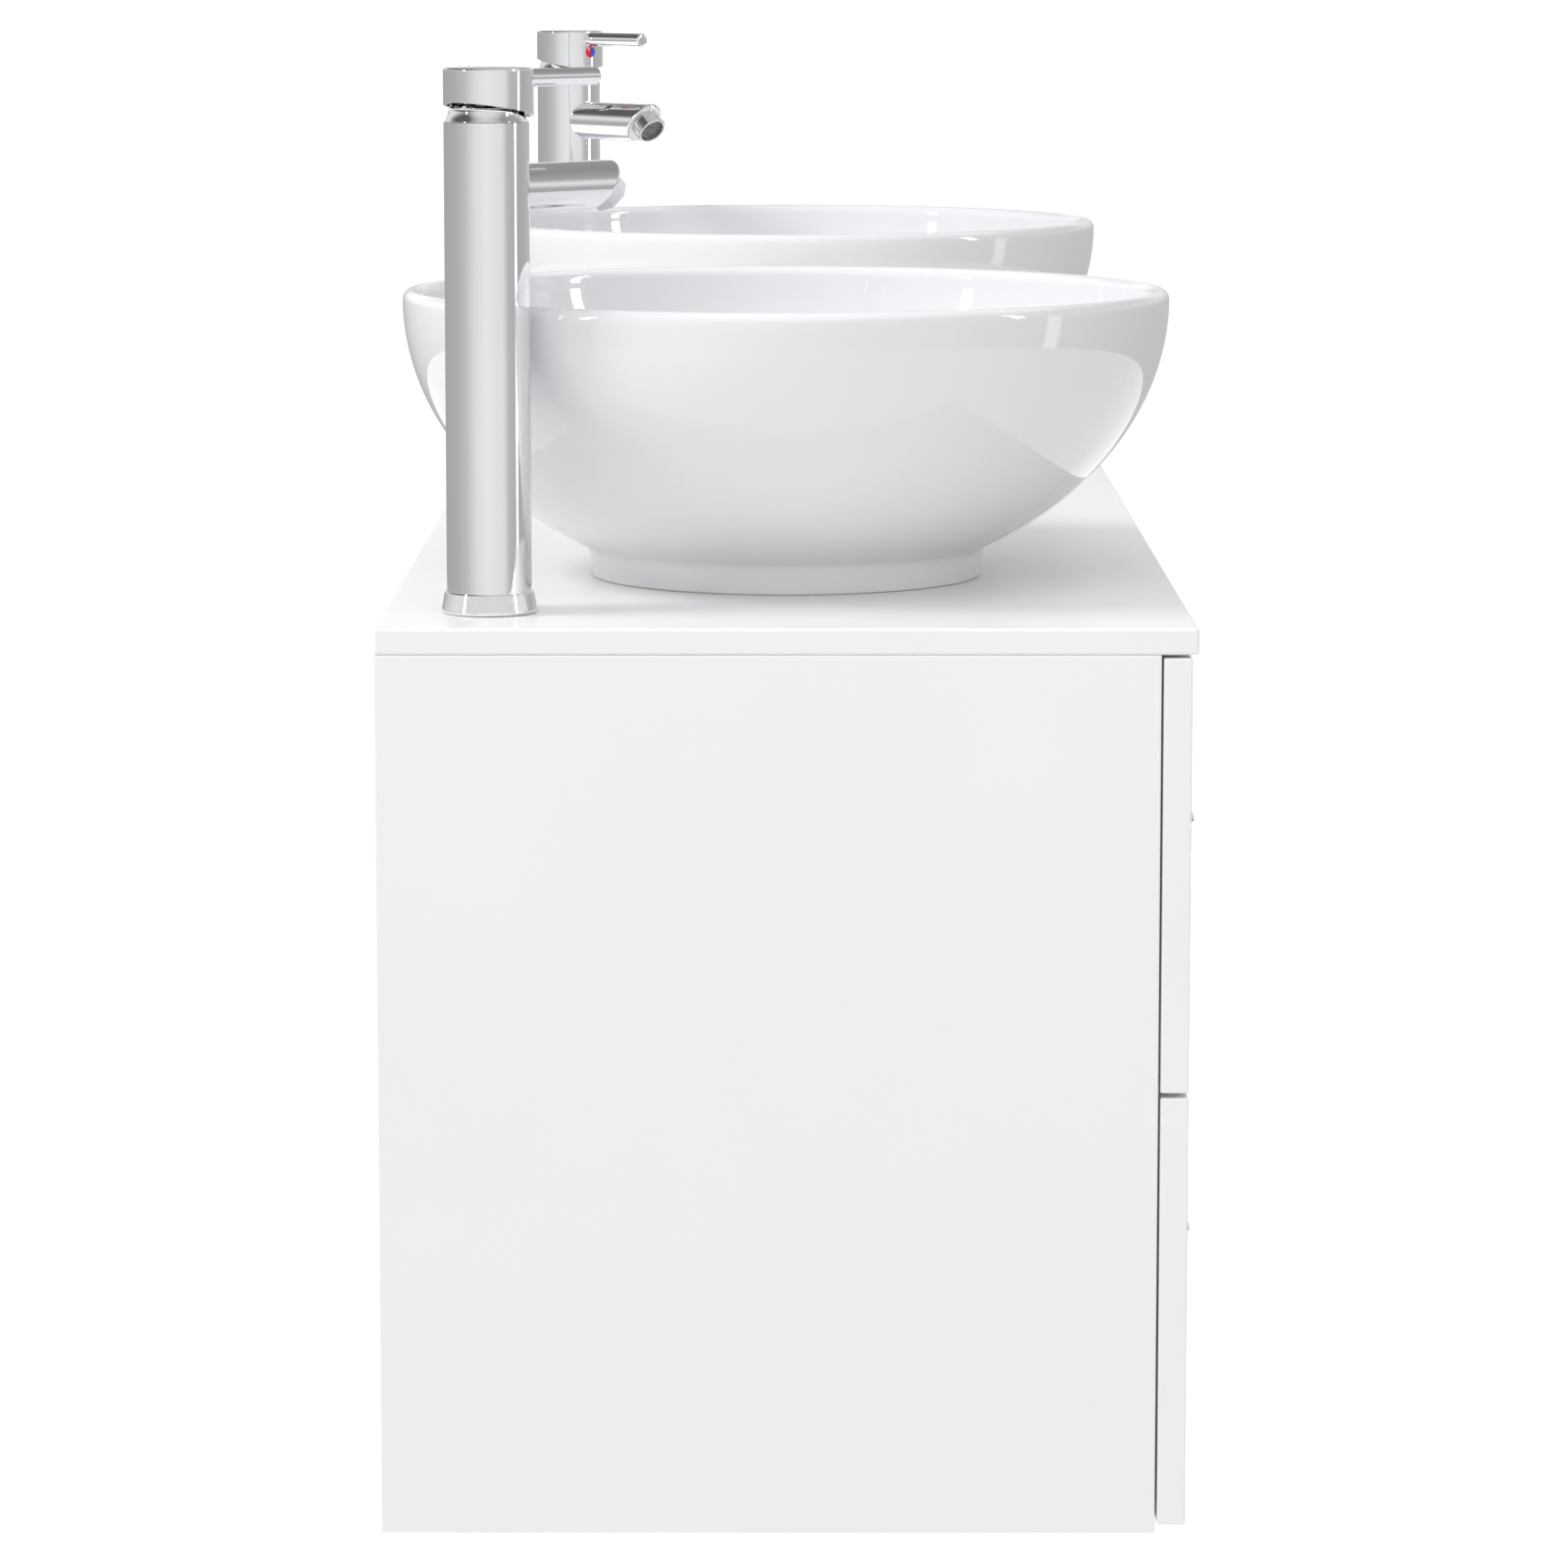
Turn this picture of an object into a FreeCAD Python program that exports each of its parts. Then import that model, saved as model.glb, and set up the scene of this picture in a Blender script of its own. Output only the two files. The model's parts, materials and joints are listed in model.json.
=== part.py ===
"""Wall-hung double vanity: lacquered drawer cabinet, two vessel basins, two tall lever mixers.

Millimetres. X runs along the width, the drawers open towards -Y, and Z is up. The shapes are worked out
with the wall at y = 0 and the cabinet's underside at z = 0. Each one is then lowered so that the origin is
the centre of the four wall bolts, on the wall plane.
"""

import FreeCAD, Part
import math
import os

from FreeCAD import Rotation, Vector

# Overall sizes
WIDTH = 1200.0
DEPTH = 400.0
HEIGHT = 450.0

# Boards
TOP_THICK = 13.0
TOP_EDGE_ROUND = 1.5
TOP_OVERHANG = 3.0
BOARD = 18.0
BOTTOM_THICK = 16.0
FRONT_RAIL_DEPTH = 70.0
HANGING_RAIL_HEIGHT = 100.0
LOWER_RAIL_HEIGHT = 80.0
BOARD_EDGE_ROUND = 0.8

# Wall fixing
WALL_BOLT_INSET = 100.0
WALL_BOLT_HOLE_R = 4.5

# Cam fittings that pull the boards together
CAM_R = 7.5
CAM_DEPTH = 12.5
CAM_INSET = 34.0
CAM_FIT = 0.05

# Drawer fronts and knobs
FRONT_THICK = 14.0
FRONT_EDGE_ROUND = 1.0
FRONT_BUMPER_GAP = 1.0
FRONT_GAP = 2.4
FRONT_TOP_GAP = 1.5
FRONT_BOTTOM_LIFT = 4.0
KNOB_SHARE = 0.3
KNOB_R = 6.5
KNOB_NECK_R = 4.2
KNOB_LENGTH = 14.5
KNOB_STUD_R = 2.0
KNOB_STUD_LENGTH = 8.0
STUD_FIT = 0.05

# Drawer boxes
BOX_SIDE = 12.0
BOX_BOTTOM = 8.0
BOX_BOTTOM_LIFT = 6.0
BOX_LENGTH = 350.0
LOWER_BOX_HEIGHT = 150.0
UPPER_BOX_HEIGHT = 140.0
BOX_ABOVE_FRONT_EDGE = 28.0
NOTCH_HALF_WIDTH = 75.0
NOTCH_REACH = 75.0
NOTCH_LINER = 10.0

# Three-part drawer runners
RUNNER_SPACE = 13.0
RUNNER_LENGTH = 345.0
RUNNER_HEIGHT = 45.0
RUNNER_SHEET = 1.2
RUNNER_GAP = 1.1
RUNNER_ABOVE_BOX = 35.0

# Basins
BASIN_R = 200.0
BASIN_HEIGHT = 150.0
BASIN_FROM_MIDDLE = 360.0
BASIN_FROM_WALL = 200.0
BASIN_FOOT_R = 102.0
BASIN_FOOT_HEIGHT = 15.0
BASIN_FLOOR = 17.0
LIP_R = 5.0
UNDERSIDE_RECESS = 5.0
UNDERSIDE_RECESS_R = 88.0

# Basin wastes, stoppers and traps
WASTE_R = 20.95
WASTE_BORE_R = 17.0
WASTE_FLANGE_R = 31.5
WASTE_FLANGE = 3.0
WASTE_LENGTH = 84.0
WASTE_HOLE_CLEARANCE = 2.0
WASTE_NUT_R = 29.0
WASTE_NUT_HEIGHT = 10.0
STOPPER_R = 28.5
STOPPER_HEIGHT = 5.0
STOPPER_GAP = 0.4
STOPPER_STEM_R = 4.0
STOPPER_STEM_LENGTH = 34.0
GUIDE_R = 7.0
GUIDE_HEIGHT = 8.0
GUIDE_ARM = 3.0
RUNNING_FIT = 0.05
TAIL_R = 16.0
TAIL_WALL = 2.0
TAIL_FIT = 0.1
TAIL_IN_WASTE = 15.0
BOTTLE_R = 30.0
BOTTLE_WALL = 3.0
BOTTLE_HEIGHT = 80.0
BOTTLE_BOTTOM = 242.0
BOTTLE_ROUND = 8.0
COLLAR_R = 23.0
COLLAR_HEIGHT = 24.0
TAIL_ABOVE_BOTTLE_FLOOR = 22.0
OUTLET_HEIGHT = 300.0
OUTLET_COLLAR_END = 56.0
OUTLET_SEAT_STEP = 0.2

# Faucets
FAUCET_FROM_END = 68.5
FAUCET_FROM_WALL = 53.0
FAUCET_R = 21.1
FOOT_RING_HEIGHT = 10.8
FOOT_RING_FLARE = 3.3
FOOT_RING_STEP = 0.9
FOOT_RING_LOW_ROUND = 1.8
FOOT_RING_TOP_ROUND = 0.7
FAUCET_SHOULDER = 242.0
WATERWAY_R = 12.0
WATERWAY_BOTTOM = 15.0
CHAMBER_WALL = 3.6
CHAMBER_BOTTOM = 200.0
SHANK_R = 16.0
SHANK_LENGTH = 45.0
SHANK_HOLE_CLEARANCE = 1.5
INLET_R = 4.5
INLET_DEPTH = 15.0
INLET_FROM_AXIS = 8.5
FAUCET_NUT_ACROSS = 41.0
FAUCET_NUT_HEIGHT = 8.0
SPOUT_R = 12.5
SPOUT_BORE_R = 8.0
SPOUT_HEIGHT = 208.5
SPOUT_REACH = 82.5
SPOUT_TILT = 39.0
SPOUT_EDGE_ROUND = 2.0
AERATOR_R = 10.4
AERATOR_LENGTH = 9.0
AERATOR_SIDES = 8
AERATOR_FACE_R = 8.2
AERATOR_FACE_DEPTH = 1.0
AERATOR_SEAT_R = 9.0
AERATOR_SEAT_DEPTH = 6.0

# Lever handles
BONNET_HEIGHT = 8.5
BONNET_MOUTH_R = 11.4
ROTOR_NECK_R = 11.0
ROTOR_TOP = 250.5
ROTOR_SHOULDER = 236.0
ROTOR_BOTTOM = 206.0
PIVOT_HEIGHT = 246.0
PIVOT_PIN_R = 2.0
SLOT_FLOOR = 238.0
TONGUE_THICK = 8.0
TONGUE_HALF_LENGTH = 5.0
TONGUE_GAP = 0.3
CAP_OVERHANG = 1.15
CAP_WALL = 1.85
CAP_OFFSET = 1.5
CAP_TOP = 268.4
CAP_CROWN = 10.4
CAP_FRONT_EDGE = 243.7
CAP_BACK_EDGE = 251.7
CAP_EDGE_ROUND = 1.0
LEVER_R = 4.6
LEVER_HEIGHT = 263.0
LEVER_END = 79.5
LEVER_SPIGOT_R = 3.0
LEVER_SPIGOT_LENGTH = 9.0
LEVER_END_ROUND = 1.6
INDEX_R = 3.8
INDEX_HEIGHT = 254.6
INDEX_DEPTH = 1.2
INDEX_PROUD = 0.3

# Places worked out from the sizes above
PANEL_DEPTH = DEPTH - TOP_OVERHANG - FRONT_THICK - FRONT_BUMPER_GAP
SHELF_TOP = HEIGHT - TOP_THICK
INNER_HALF = WIDTH / 2 - BOARD
LOWER_BOLT_Z = BOTTOM_THICK + LOWER_RAIL_HEIGHT / 2
UPPER_BOLT_Z = SHELF_TOP - HANGING_RAIL_HEIGHT / 2
ORIGIN_Z = (LOWER_BOLT_Z + UPPER_BOLT_Z) / 2
FRONT_BACK_Y = -PANEL_DEPTH - FRONT_BUMPER_GAP
FRONT_FACE_Y = FRONT_BACK_Y - FRONT_THICK
FRONT_HEIGHT = (SHELF_TOP - FRONT_BOTTOM_LIFT - FRONT_GAP - FRONT_TOP_GAP) / 2
FRONT_WIDTH = (WIDTH - FRONT_GAP) / 2
BAY_CENTRE = (INNER_HALF + BOARD / 2) / 2
BAY_WIDTH = INNER_HALF - BOARD / 2
BOX_WIDTH = BAY_WIDTH - 2 * RUNNER_SPACE
BOX_BACK_Y = FRONT_BACK_Y + BOX_LENGTH
FLANGE_SEAT_Z = HEIGHT + BASIN_FLOOR
WASTE_BOTTOM = FLANGE_SEAT_Z - WASTE_LENGTH
TOP_WASTE_HOLE_R = WASTE_R + WASTE_HOLE_CLEARANCE
FAUCET_X = WIDTH / 2 - FAUCET_FROM_END
CHAMBER_R = FAUCET_R - CHAMBER_WALL
CAP_R = FAUCET_R + CAP_OVERHANG

SIDES = {"left": -1, "right": 1}
ROWS = ("lower", "upper")


def box(x0, x1, y0, y1, z0, z1):
    low = Vector(min(x0, x1), min(y0, y1), min(z0, z1))
    high = Vector(max(x0, x1), max(y0, y1), max(z0, z1))
    size = high - low
    return Part.makeBox(size.x, size.y, size.z, low)


def cylinder(radius, start, end):
    along = end - start
    return Part.makeCylinder(radius, along.Length, start, along)


def upright(radius, x, y, z0, z1):
    return cylinder(radius, Vector(x, y, z0), Vector(x, y, z1))


def turned(outline):
    """A solid of revolution about Z from edges, or from (radius, height) corners."""
    edges = outline
    if not hasattr(outline[0], "Curve"):
        points = [Vector(r, 0, z) for r, z in outline]
        edges = [Part.LineSegment(a, b).toShape() for a, b in zip(points, points[1:] + points[:1])]
    face = Part.Face(Part.Wire(edges))
    return face.revolve(Vector(0, 0, 0), Vector(0, 0, 1), 360)


def polygon(sides, corner_r, z):
    """A level face with equal sides about the axis."""
    turns = [math.tau * n / sides for n in range(sides + 1)]
    corners = [Vector(corner_r * math.cos(turn), corner_r * math.sin(turn), z) for turn in turns]
    return Part.Face(Part.makePolygon(corners))


def dome(rim, crown):
    """The arc of a ball centred on the axis, from a rim up to its crown."""
    height = crown.z - rim.z
    ball_r = (rim.x ** 2 + height ** 2) / (2 * height)
    half_turn = math.asin(rim.x / ball_r) / 2
    middle = crown + Vector(math.sin(half_turn), 0, math.cos(half_turn) - 1) * ball_r
    return Part.Arc(rim, middle, crown).toShape()


def eased(board, radius):
    """Rounds every edge of a plain board."""
    return board.makeFillet(radius, board.Edges)


def save(node, *solids):
    """Writes one node, lowered so that the wall bolts' centre is at the origin."""
    shape = solids[0] if len(solids) == 1 else Part.Compound(list(solids))
    moved = shape.copy()
    moved.translate(Vector(0, 0, -ORIGIN_Z))
    moved.exportStep("parts/" + node + ".step")


def basin_place(side):
    return Vector(side * BASIN_FROM_MIDDLE, -BASIN_FROM_WALL, 0)


def faucet_place(side):
    return Vector(side * FAUCET_X, -FAUCET_FROM_WALL, 0)


def faucet_turn(side):
    """The angle about Z that points a spout at its own basin."""
    aim = basin_place(side) - faucet_place(side)
    return math.degrees(math.atan2(aim.y, aim.x))


def at_faucet(shape, side):
    """Takes a shape drawn about the faucet's own axis, spout along +X, to its place on the countertop."""
    placed = shape.copy()
    placed.rotate(Vector(0, 0, 0), Vector(0, 0, 1), faucet_turn(side))
    placed.translate(faucet_place(side) + Vector(0, 0, HEIGHT))
    return placed


def at_basin(shape, side):
    placed = shape.copy()
    placed.translate(basin_place(side))
    return placed


# Cabinet


def cam(x, y, z, direction, fit=0.0):
    start = Vector(x, y, z)
    return cylinder(CAM_R + fit, start, start + direction * CAM_DEPTH)


def with_cams(board, places, direction):
    """Cuts a pocket for each cam, and gives the board and its cams."""
    cams = [cam(*place, direction) for place in places]
    for place in places:
        board = board.cut(cam(*place, direction, CAM_FIT))
    return board, cams


def countertop():
    top = eased(box(-WIDTH / 2, WIDTH / 2, -DEPTH, 0, SHELF_TOP, HEIGHT), TOP_EDGE_ROUND)
    for side in SIDES.values():
        basin = basin_place(side)
        faucet = faucet_place(side)
        top = top.cut(upright(TOP_WASTE_HOLE_R, basin.x, basin.y, SHELF_TOP, HEIGHT))
        shank_hole = upright(SHANK_R + SHANK_HOLE_CLEARANCE, faucet.x, faucet.y, SHELF_TOP, HEIGHT)
        top = top.cut(shank_hole)
    return top


def side_panel(side):
    panel = box(side * INNER_HALF, side * WIDTH / 2, -PANEL_DEPTH, 0, 0, SHELF_TOP)
    return eased(panel, BOARD_EDGE_ROUND)


def centre_partition():
    return box(-BOARD / 2, BOARD / 2, -PANEL_DEPTH, -BOARD, BOTTOM_THICK, SHELF_TOP)


def bottom_panel():
    panel = box(-INNER_HALF, INNER_HALF, -PANEL_DEPTH, 0, 0, BOTTOM_THICK)
    places = [
        (side * (INNER_HALF - CAM_INSET), y, 0)
        for side in SIDES.values()
        for y in (-PANEL_DEPTH + CAM_INSET, -CAM_INSET - BOARD)
    ]
    return with_cams(panel, places, Vector(0, 0, 1))


def front_rails():
    """One rail over each bay, which the countertop rests on."""
    rails = []
    cams = []
    underside = SHELF_TOP - BOARD
    middle_y = -PANEL_DEPTH + FRONT_RAIL_DEPTH / 2
    for side in SIDES.values():
        ends = (side * BOARD / 2, side * INNER_HALF)
        rail = box(*ends, -PANEL_DEPTH, -PANEL_DEPTH + FRONT_RAIL_DEPTH, underside, SHELF_TOP)
        places = [
            (ends[0] + side * CAM_INSET, middle_y, underside),
            (ends[1] - side * CAM_INSET, middle_y, underside),
        ]
        rail, found = with_cams(rail, places, Vector(0, 0, 1))
        rails.append(rail)
        cams.extend(found)
    return rails, cams


def wall_rail(z0, z1, bolt_z):
    """A rail against the wall, with its two wall bolt holes and its cams in the front face."""
    rail = box(-INNER_HALF, INNER_HALF, -BOARD, 0, z0, z1)
    for side in SIDES.values():
        x = side * (WIDTH / 2 - WALL_BOLT_INSET)
        rail = rail.cut(cylinder(WALL_BOLT_HOLE_R, Vector(x, -BOARD, bolt_z), Vector(x, 0, bolt_z)))
    places = [(side * (INNER_HALF - CAM_INSET), -BOARD, bolt_z) for side in SIDES.values()]
    return with_cams(rail, places, Vector(0, 1, 0))


# Drawers


def front_bottom(row):
    return FRONT_BOTTOM_LIFT + ROWS.index(row) * (FRONT_HEIGHT + FRONT_GAP)


def box_bottom(row):
    return front_bottom(row) + BOX_ABOVE_FRONT_EDGE


def box_height(row):
    return LOWER_BOX_HEIGHT if row == "lower" else UPPER_BOX_HEIGHT


def front_ends(side):
    """X of a front's edge beside the middle gap, and of its outer edge."""
    return side * FRONT_GAP / 2, side * WIDTH / 2


def knob_places(side, row):
    near, far = front_ends(side)
    z = front_bottom(row) + FRONT_HEIGHT / 2
    shares = (KNOB_SHARE, 1 - KNOB_SHARE)
    return [Vector(near + (far - near) * share, FRONT_FACE_Y, z) for share in shares]


def drawer_front(side, row):
    z0 = front_bottom(row)
    board = box(*front_ends(side), FRONT_FACE_Y, FRONT_BACK_Y, z0, z0 + FRONT_HEIGHT)
    board = eased(board, FRONT_EDGE_ROUND)
    for place in knob_places(side, row):
        board = board.cut(cylinder(KNOB_STUD_R + STUD_FIT, place, place + Vector(0, KNOB_STUD_LENGTH, 0)))
    return board


def knob(place):
    """A small round knob with a domed end and the threaded stud that holds it."""
    neck_end = KNOB_LENGTH * 0.45
    rim = KNOB_LENGTH * 0.72
    foot_r = KNOB_NECK_R + 1.0
    corners = [
        (0, 0),
        (foot_r, 0),
        (foot_r, 1.2),
        (KNOB_NECK_R, 1.8),
        (KNOB_NECK_R, neck_end),
        (KNOB_R, rim),
    ]
    points = [Vector(r, 0, z) for r, z in corners]
    edges = [Part.LineSegment(a, b).toShape() for a, b in zip(points, points[1:])]
    top = Vector(0, 0, KNOB_LENGTH)
    edges.append(dome(points[-1], top))
    edges.append(Part.LineSegment(top, points[0]).toShape())
    shape = turned(edges)
    shape.rotate(Vector(0, 0, 0), Vector(1, 0, 0), 90)
    shape.translate(place)
    stud = cylinder(KNOB_STUD_R, place, place + Vector(0, KNOB_STUD_LENGTH - STUD_FIT, 0))
    return shape.fuse(stud).removeSplitter()


def box_sides(side, row):
    z0 = box_bottom(row)
    boards = []
    for edge in (-1, 1):
        outer = side * BAY_CENTRE + edge * BOX_WIDTH / 2
        inner = outer - edge * BOX_SIDE
        boards.append(box(outer, inner, FRONT_BACK_Y, BOX_BACK_Y, z0, z0 + box_height(row)))
    return boards


def box_inner(side):
    """X of the two inner faces of a drawer box."""
    half = BOX_WIDTH / 2 - BOX_SIDE
    return side * BAY_CENTRE - half, side * BAY_CENTRE + half


def notch_ends(side):
    centre = side * BASIN_FROM_MIDDLE
    return centre - NOTCH_HALF_WIDTH, centre + NOTCH_HALF_WIDTH


def notch_front_y():
    return -BASIN_FROM_WALL - NOTCH_REACH


def box_base(side, row):
    z0 = box_bottom(row) + BOX_BOTTOM_LIFT
    board = box(*box_inner(side), FRONT_BACK_Y, BOX_BACK_Y, z0, z0 + BOX_BOTTOM)
    if row == "upper":
        board = board.cut(box(*notch_ends(side), notch_front_y(), 0, z0, z0 + BOX_BOTTOM))
    return board


def box_back(side, row):
    """The back board. An upper drawer's is split by the notch around the trap, which three boards line."""
    z0 = box_bottom(row) + BOX_BOTTOM_LIFT + BOX_BOTTOM
    z1 = box_bottom(row) + box_height(row)
    inner = box_inner(side)
    y0 = BOX_BACK_Y - BOX_SIDE
    if row == "lower":
        return [box(*inner, y0, BOX_BACK_Y, z0, z1)]
    notch = notch_ends(side)
    outer = (notch[0] - NOTCH_LINER, notch[1] + NOTCH_LINER)
    notch_y = notch_front_y()
    liner = [
        box(*outer, notch_y - NOTCH_LINER, notch_y, z0, z1),
        box(outer[0], notch[0], notch_y, BOX_BACK_Y, z0, z1),
        box(notch[1], outer[1], notch_y, BOX_BACK_Y, z0, z1),
    ]
    backs = [
        box(inner[0], outer[0], y0, BOX_BACK_Y, z0, z1),
        box(outer[1], inner[1], y0, BOX_BACK_Y, z0, z1),
    ]
    return backs + liner


# Runners


def channel(x_web, x_lip, half_height, z, y_front):
    """A C section: a web at x_web with two flanges that reach x_lip."""
    way = 1 if x_lip > x_web else -1
    y_back = y_front + RUNNER_LENGTH
    outer = box(x_web, x_lip, y_front, y_back, z - half_height, z + half_height)
    inside = half_height - RUNNER_SHEET
    hollow = box(x_web + way * RUNNER_SHEET, x_lip, y_front, y_back, z - inside, z + inside)
    return outer.cut(hollow)


def runner_stage(side, row, stage):
    """Both runners of a drawer at one stage: cabinet rail, middle slide or drawer slide."""
    z = box_bottom(row) + RUNNER_ABOVE_BOX
    y_front = -PANEL_DEPTH + RUNNER_GAP
    step = RUNNER_SHEET + RUNNER_GAP
    half = RUNNER_HEIGHT / 2
    rails = []
    for edge in (-1, 1):
        wall_x = side * BAY_CENTRE + edge * BAY_WIDTH / 2
        box_x = side * BAY_CENTRE + edge * BOX_WIDTH / 2
        if stage == "cabinet":
            rails.append(channel(wall_x, box_x + edge * step, half, z, y_front))
        elif stage == "middle":
            rails.append(channel(wall_x - edge * step, box_x + edge * step, half - step, z, y_front))
        else:
            rails.append(channel(box_x, wall_x - edge * 2 * step, half - 2 * step, z, y_front))
    return rails


# Basins


def ellipse_arc(half_width, half_height, centre_z, radii):
    """The lower outer quarter of an ellipse about the axis, between two radii."""
    centre = Vector(0, 0, centre_z)
    low = centre - Vector(0, 0, half_height)
    side = centre + Vector(half_width, 0, 0)
    if half_width >= half_height:
        ellipse = Part.Ellipse(side, low, centre)
        ends = sorted(math.acos(r / half_width) for r in radii)
    else:
        ellipse = Part.Ellipse(low, side, centre)
        ends = sorted(math.asin(r / half_width) for r in radii)
    return Part.ArcOfEllipse(ellipse, *ends).toShape()


def basin_body():
    """A half-ellipsoid bowl on a round foot, with a rounded lip and an even wall."""
    lip_z = HEIGHT + BASIN_HEIGHT - LIP_R
    outer_r = BASIN_R
    inner_r = BASIN_R - 2 * LIP_R
    foot_top = HEIGHT + BASIN_FOOT_HEIGHT
    share = math.sqrt(1 - ((BASIN_FOOT_R + 2) / outer_r) ** 2)
    outer_drop = (lip_z - foot_top) / share
    inner_drop = lip_z - HEIGHT - BASIN_FLOOR
    outside = ellipse_arc(outer_r, outer_drop, lip_z, (BASIN_FOOT_R + 2, outer_r))
    inside = ellipse_arc(inner_r, inner_drop, lip_z, (0, inner_r))
    lip = Part.Arc(Vector(outer_r, 0, lip_z), Vector(outer_r - LIP_R, 0, lip_z + LIP_R),
                   Vector(inner_r, 0, lip_z)).toShape()
    corners = [
        (BASIN_FOOT_R + 2, foot_top),
        (BASIN_FOOT_R, HEIGHT),
        (UNDERSIDE_RECESS_R, HEIGHT),
        (UNDERSIDE_RECESS_R - 4, HEIGHT + UNDERSIDE_RECESS),
        (0, HEIGHT + UNDERSIDE_RECESS),
        (0, HEIGHT + BASIN_FLOOR),
    ]
    points = [Vector(r, 0, z) for r, z in corners]
    straight = [Part.LineSegment(a, b).toShape() for a, b in zip(points, points[1:])]
    shape = turned(Part.sortEdges([outside, lip, inside] + straight)[0])
    waste_hole = upright(TOP_WASTE_HOLE_R, 0, 0, HEIGHT, HEIGHT + BASIN_HEIGHT)
    seat = upright(WASTE_FLANGE_R + WASTE_HOLE_CLEARANCE, 0, 0, FLANGE_SEAT_Z, HEIGHT + BASIN_HEIGHT)
    return shape.cut(waste_hole).cut(seat)


def basin_waste():
    """The flanged waste tube, with a three-armed guide across its bore for the stopper's stem."""
    z0 = WASTE_BOTTOM
    top = FLANGE_SEAT_Z + WASTE_FLANGE
    body = upright(WASTE_R, 0, 0, z0, top)
    flange = upright(WASTE_FLANGE_R, 0, 0, FLANGE_SEAT_Z, top)
    rim = [edge for edge in flange.Edges if edge.BoundBox.ZMin > top - 0.1]
    body = body.fuse(flange.makeFillet(WASTE_FLANGE * 0.6, rim))
    body = body.cut(upright(WASTE_BORE_R, 0, 0, z0, top))
    guide_top = top - 2 * GUIDE_HEIGHT
    guide = upright(GUIDE_R, 0, 0, guide_top - GUIDE_HEIGHT, guide_top)
    for turn in range(3):
        arm = box(0, WASTE_BORE_R + 1, -GUIDE_ARM / 2, GUIDE_ARM / 2, guide_top - GUIDE_HEIGHT, guide_top)
        arm.rotate(Vector(0, 0, 0), Vector(0, 0, 1), 120 * turn)
        guide = guide.fuse(arm)
    guide = guide.cut(upright(STOPPER_STEM_R + RUNNING_FIT, 0, 0, z0, top))
    return body.fuse(guide).removeSplitter()


def stopper():
    """A domed plug, closed on the waste flange, with a stem down through the guide."""
    base = FLANGE_SEAT_Z + WASTE_FLANGE + STOPPER_GAP
    edge_height = STOPPER_HEIGHT * 0.3
    crown = Vector(0, 0, base + STOPPER_HEIGHT)
    corners = [
        (0, base - STOPPER_STEM_LENGTH),
        (STOPPER_STEM_R, base - STOPPER_STEM_LENGTH),
        (STOPPER_STEM_R, base),
        (STOPPER_R, base),
        (STOPPER_R, base + edge_height),
    ]
    points = [Vector(r, 0, z) for r, z in corners]
    edges = [Part.LineSegment(a, b).toShape() for a, b in zip(points, points[1:])]
    edges.append(dome(points[-1], crown))
    edges.append(Part.LineSegment(crown, points[0]).toShape())
    return turned(edges)


def waste_nut():
    nut = upright(WASTE_NUT_R, 0, 0, SHELF_TOP - WASTE_NUT_HEIGHT, SHELF_TOP)
    return nut.cut(upright(WASTE_R + RUNNING_FIT, 0, 0, SHELF_TOP - WASTE_NUT_HEIGHT, SHELF_TOP))


def tube(radius, wall, start, end):
    return cylinder(radius, start, end).cut(cylinder(radius - wall, start, end))


def trap_tail():
    floor = BOTTLE_BOTTOM + TAIL_ABOVE_BOTTLE_FLOOR
    return tube(TAIL_R, TAIL_WALL, Vector(0, 0, floor), Vector(0, 0, WASTE_BOTTOM + TAIL_IN_WASTE))


def bottle_trap():
    """A hollow bottle with a collar on top for the tail and one at the back for the outlet."""
    top = BOTTLE_BOTTOM + BOTTLE_HEIGHT
    collar_top = top + COLLAR_HEIGHT
    body = upright(BOTTLE_R, 0, 0, BOTTLE_BOTTOM, top)
    body = body.makeFillet(BOTTLE_ROUND, [edge for edge in body.Edges if len(edge.Vertexes) == 1])
    body = body.fuse(upright(COLLAR_R, 0, 0, top - BOTTLE_ROUND, collar_top))
    outlet_start = Vector(0, 0, OUTLET_HEIGHT)
    body = body.fuse(cylinder(COLLAR_R, outlet_start, outlet_start + Vector(0, OUTLET_COLLAR_END, 0)))
    cavity_r = BOTTLE_R - BOTTLE_WALL
    cavity = upright(cavity_r, 0, 0, BOTTLE_BOTTOM + BOTTLE_WALL, top - BOTTLE_ROUND)
    cavity = cavity.fuse(upright(TAIL_R + TAIL_FIT, 0, 0, BOTTLE_BOTTOM + BOTTLE_WALL, collar_top))
    bore_end = outlet_start + Vector(0, OUTLET_COLLAR_END, 0)
    cavity = cavity.fuse(cylinder(TAIL_R + TAIL_FIT, outlet_start, bore_end))
    return body.cut(cavity).removeSplitter()


def trap_outlet():
    """The outlet tube, a little slimmer where it sits in the collar, ending at the wall plane."""
    step_y = OUTLET_COLLAR_END
    seat_y = BOTTLE_R
    z = OUTLET_HEIGHT
    body = cylinder(TAIL_R, Vector(0, step_y, z), Vector(0, BASIN_FROM_WALL, z))
    body = body.fuse(cylinder(TAIL_R - OUTLET_SEAT_STEP, Vector(0, seat_y, z), Vector(0, step_y, z)))
    bore = cylinder(TAIL_R - TAIL_WALL, Vector(0, seat_y, z), Vector(0, BASIN_FROM_WALL, z))
    return body.cut(bore)


# Faucets, drawn about their own axis with the spout along +X and the countertop at z = 0


def spout_way():
    angle = math.radians(SPOUT_TILT)
    return Vector(math.cos(angle), 0, -math.sin(angle))


def spout_end():
    return Vector(SPOUT_REACH, 0, SPOUT_HEIGHT)


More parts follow.
